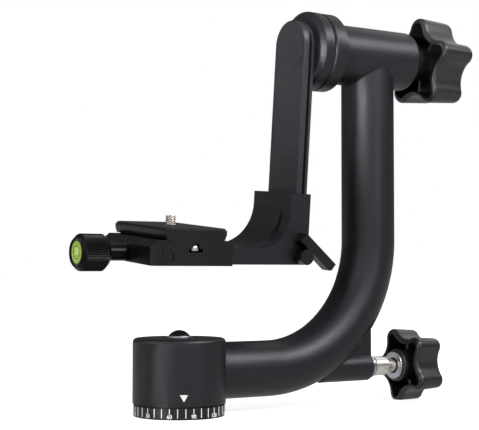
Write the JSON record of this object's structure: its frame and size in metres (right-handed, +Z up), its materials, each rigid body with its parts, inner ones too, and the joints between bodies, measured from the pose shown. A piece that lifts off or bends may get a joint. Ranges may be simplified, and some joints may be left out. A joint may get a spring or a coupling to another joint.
{
  "type": "tripod gimbal head",
  "caption": "Side mount gimbal head for a tripod: pan base with degree dial, J shaped arm, tilting swing arm with height adjustable dovetail clamp, and star knobs that lock pan and tilt.",
  "frame": {"origin": "mouth of the tripod socket, on the pan axis, at the underside of the base", "axes": "+Z up along the pan axis, +X from the pan axis to the upright of the arm, lens side facing -Y"},
  "size_m": [0.2612, 0.0707, 0.2457],
  "materials": {
    "black_coat": "black satin powder coat",
    "dial_coat": "black satin anodised",
    "knob_plastic": "black satin moulded",
    "knurled_coat": "black anodised, knurled",
    "chrome": "polished",
    "zinc": "bright zinc plate",
    "steel": "turned",
    "bronze": "turned",
    "pad_rubber": "ribbed matte",
    "level_green": "clear, green filled"
  },
  "bodies": {
    "base": {"base_plate": "black_coat", "scale_ring": "dial_coat", "base_screws": "steel", "pan_spindle": "steel", "pan_thrust_washer": "bronze", "spindle_washer": "chrome", "spindle_bolt": "black_coat"},
    "arm": {"hub_housing": "black_coat", "pan_bush_lower": "bronze", "pan_bush_upper": "bronze", "j_arm": "black_coat", "grub_screws": "steel", "tilt_barrel": "black_coat", "tilt_bush_left": "bronze", "tilt_bush_right": "bronze", "pan_lock_gland": "chrome"},
    "pan_rod": {"pan_brake_shoe": "bronze", "pan_lock_rod": "steel"},
    "pan_knob": {"pan_lock_shaft": "chrome", "pan_knob_washer": "zinc", "pan_knob": "knob_plastic"},
    "swing": {"tilt_axle": "steel", "pivot_collar": "black_coat", "swing_plate": "black_coat", "pivot_bolt": "steel", "pivot_cap": "black_coat", "pivot_dowels": "steel", "slide_stops": "bronze"},
    "tilt_washer": {"tilt_thrust_washer": "zinc"},
    "tilt_knob": {"tilt_knob_insert": "bronze", "tilt_knob": "knob_plastic"},
    "platform": {"platform_bracket": "black_coat", "clamp_body": "black_coat", "clamp_bolts": "steel"},
    "lever": {"lever_stud": "steel", "height_lever": "black_coat"},
    "lock_shoe": {"lock_shoe": "bronze"},
    "jaw": {"moving_jaw": "black_coat"},
    "clamp_knob": {"clamp_knob": "knurled_coat", "clamp_screw": "steel", "clamp_clip": "steel", "level_vial": "level_green"},
    "plate": {"quick_release_plate": "black_coat", "plate_pad": "pad_rubber", "stop_screws": "chrome"},
    "camera_screw": {"camera_screw": "chrome"}
  },
  "joints": [
    {"name": "pan", "type": "hinge", "parent": "base", "child": "arm", "pos_m": [0, 0, 0], "axis": [0, 0, 1], "continuous": true},
    {"name": "pan_rod_slide", "type": "slide", "parent": "arm", "child": "pan_rod", "axis": [1, 0, 0], "range_m": [0, 0.003]},
    {"name": "pan_knob_turn", "type": "hinge", "parent": "pan_rod", "child": "pan_knob", "pos_m": [0.159, 0, 0.0223], "axis": [1, 0, 0], "range_deg": [0, 720]},
    {"name": "tilt", "type": "hinge", "parent": "arm", "child": "swing", "pos_m": [0.0947, 0, 0.216], "axis": [1, 0, 0], "continuous": true},
    {"name": "tilt_washer_slide", "type": "slide", "parent": "swing", "child": "tilt_washer", "axis": [1, 0, 0], "range_m": [0, 0.003]},
    {"name": "tilt_knob_turn", "type": "hinge", "parent": "tilt_washer", "child": "tilt_knob", "pos_m": [0.173, 0, 0.216], "axis": [1, 0, 0], "range_deg": [0, 720]},
    {"name": "height_slide", "type": "slide", "parent": "swing", "child": "platform", "axis": [0, -0.0958, 0.9954], "range_m": [0, 0.06]},
    {"name": "shoe_slide", "type": "slide", "parent": "platform", "child": "lock_shoe", "axis": [0, -0.9954, -0.0958], "range_m": [0, 0.0002083]},
    {"name": "lever_turn", "type": "hinge", "parent": "lock_shoe", "child": "lever", "pos_m": [0.07908, -0.01171, 0.0903], "axis": [0, -0.9954, -0.0958], "range_deg": [0, 75]},
    {"name": "jaw_slide", "type": "slide", "parent": "platform", "child": "jaw", "axis": [-1, 0, 0], "range_m": [0, 0.005]},
    {"name": "clamp_knob_turn", "type": "hinge", "parent": "jaw", "child": "clamp_knob", "pos_m": [-0.05, 0.01193, 0.09212], "axis": [-1, 0, 0], "range_deg": [0, 2250]},
    {"name": "plate_slide", "type": "slide", "parent": "platform", "child": "plate", "axis": [0, 0.9954, 0.0958], "range_m": [-0.013, 0.013]},
    {"name": "camera_screw_turn", "type": "hinge", "parent": "plate", "child": "camera_screw", "pos_m": [0, 0.01036, 0.1084], "axis": [0, -0.0958, 0.9954], "continuous": true}
  ],
  "couplings": [
    {"joint": "pan_knob_turn", "follows": "pan_rod_slide", "rad_per_m": 4188.8},
    {"joint": "tilt_knob_turn", "follows": "tilt_washer_slide", "rad_per_m": 4188.8},
    {"joint": "lever_turn", "follows": "shoe_slide", "rad_per_m": 6283.2},
    {"joint": "clamp_knob_turn", "follows": "jaw_slide", "rad_per_m": 7854}
  ]
}
